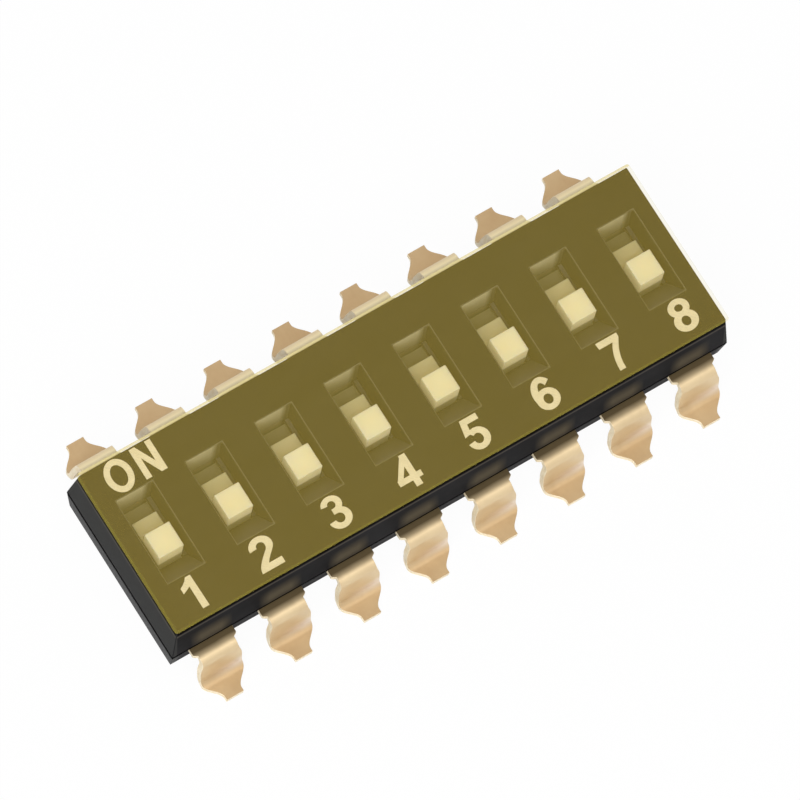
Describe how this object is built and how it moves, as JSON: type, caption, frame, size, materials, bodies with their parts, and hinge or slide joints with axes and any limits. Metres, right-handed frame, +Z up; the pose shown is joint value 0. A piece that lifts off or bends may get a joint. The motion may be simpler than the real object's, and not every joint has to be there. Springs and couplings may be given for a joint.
{
  "type": "surface-mount dip switch",
  "caption": "Flat surface-mount slide switch block with numbered recessed sliders, gull-wing leads on both sides and an amber sealing film over the top.",
  "frame": {"origin": "on the board surface under the middle of the package", "axes": "+X along the row from position 1, +Y towards ON, +Z up from the board"},
  "size_m": [0.0206, 0.0096, 0.0038],
  "materials": {
    "base_moulding": "semi-gloss black moulding",
    "cover_moulding": "semi-gloss black moulding",
    "film": "clear amber film",
    "print": "printed ink",
    "slider": "satin off-white moulding",
    "lead": "bright plated strip",
    "spring": "bright plated spring strip"
  },
  "bodies": {
    "housing": {"base": "base_moulding", "cover": "cover_moulding", "sealing_film": "film", "print_on": "print", "print_digits": "print", "lead_front_1": "lead", "lead_front_2": "lead", "lead_front_3": "lead", "lead_front_4": "lead", "lead_front_5": "lead", "lead_front_6": "lead", "lead_front_7": "lead", "lead_front_8": "lead", "lead_back_1": "lead", "lead_back_2": "lead", "lead_back_3": "lead", "lead_back_4": "lead", "lead_back_5": "lead", "lead_back_6": "lead", "lead_back_7": "lead", "lead_back_8": "lead"},
    "actuator_1": {"slider_1": "slider", "moving_contact_1": "spring"},
    "actuator_2": {"slider_2": "slider", "moving_contact_2": "spring"},
    "actuator_3": {"slider_3": "slider", "moving_contact_3": "spring"},
    "actuator_4": {"slider_4": "slider", "moving_contact_4": "spring"},
    "actuator_5": {"slider_5": "slider", "moving_contact_5": "spring"},
    "actuator_6": {"slider_6": "slider", "moving_contact_6": "spring"},
    "actuator_7": {"slider_7": "slider", "moving_contact_7": "spring"},
    "actuator_8": {"slider_8": "slider", "moving_contact_8": "spring"}
  },
  "joints": [
    {"name": "slide_1", "type": "slide", "parent": "housing", "child": "actuator_1", "axis": [0, 1, 0], "range_m": [0, 0.0006]},
    {"name": "slide_2", "type": "slide", "parent": "housing", "child": "actuator_2", "axis": [0, 1, 0], "range_m": [0, 0.0006]},
    {"name": "slide_3", "type": "slide", "parent": "housing", "child": "actuator_3", "axis": [0, 1, 0], "range_m": [0, 0.0006]},
    {"name": "slide_4", "type": "slide", "parent": "housing", "child": "actuator_4", "axis": [0, 1, 0], "range_m": [0, 0.0006]},
    {"name": "slide_5", "type": "slide", "parent": "housing", "child": "actuator_5", "axis": [0, 1, 0], "range_m": [0, 0.0006]},
    {"name": "slide_6", "type": "slide", "parent": "housing", "child": "actuator_6", "axis": [0, 1, 0], "range_m": [0, 0.0006]},
    {"name": "slide_7", "type": "slide", "parent": "housing", "child": "actuator_7", "axis": [0, 1, 0], "range_m": [0, 0.0006]},
    {"name": "slide_8", "type": "slide", "parent": "housing", "child": "actuator_8", "axis": [0, 1, 0], "range_m": [0, 0.0006]}
  ]
}
